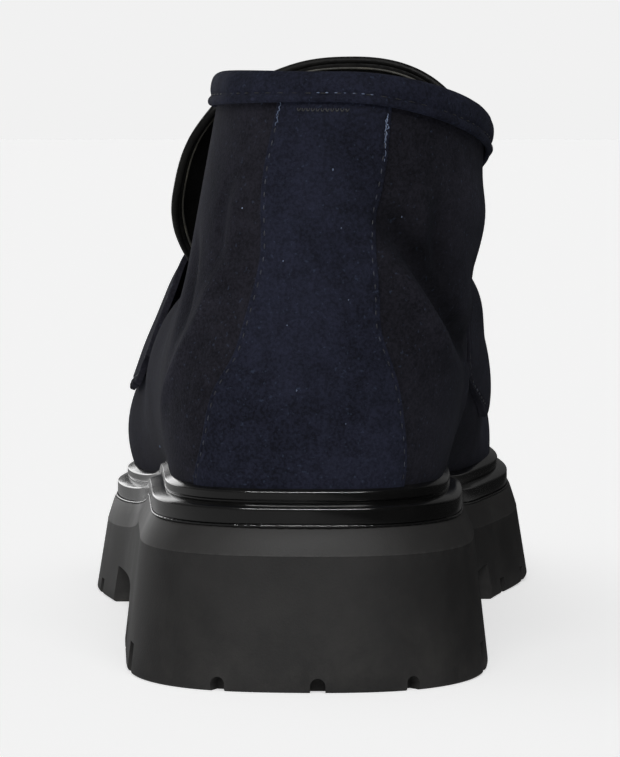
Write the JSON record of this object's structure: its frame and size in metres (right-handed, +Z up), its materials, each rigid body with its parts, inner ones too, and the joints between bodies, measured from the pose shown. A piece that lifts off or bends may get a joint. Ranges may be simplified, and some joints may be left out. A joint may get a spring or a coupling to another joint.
{
  "type": "loafer",
  "caption": "Ankle-high slip-on suede shoe, left foot, with a stand-up tongue, a saddle strap and a bound collar on a thick lugged rubber sole.",
  "frame": {"origin": "on the floor, under the middle of the whole shoe's length and width", "axes": "+Z up, +Y from heel to toe, +X towards the big-toe (medial) side of this left shoe"},
  "size_m": [0.1153, 0.308, 0.141],
  "materials": {
    "outsole_rubber": "matte black moulded rubber",
    "midsole_rubber": "matte black rubber, a bevelled band",
    "welt_gloss": "glossy black rubber steps",
    "insole_leather": "black leather footbed",
    "upper_suede": "navy suede, black leather lining",
    "tongue_suede": "navy suede, black leather lining",
    "strap_suede": "navy suede",
    "binding_suede": "navy suede, rolled and stitched"
  },
  "bodies": {
    "root": {"outsole": "outsole_rubber", "midsole": "midsole_rubber", "welt": "welt_gloss", "insole": "insole_leather", "upper": "upper_suede", "tongue": "tongue_suede", "saddle_strap": "strap_suede", "collar_binding": "binding_suede"}
  },
  "joints": []
}
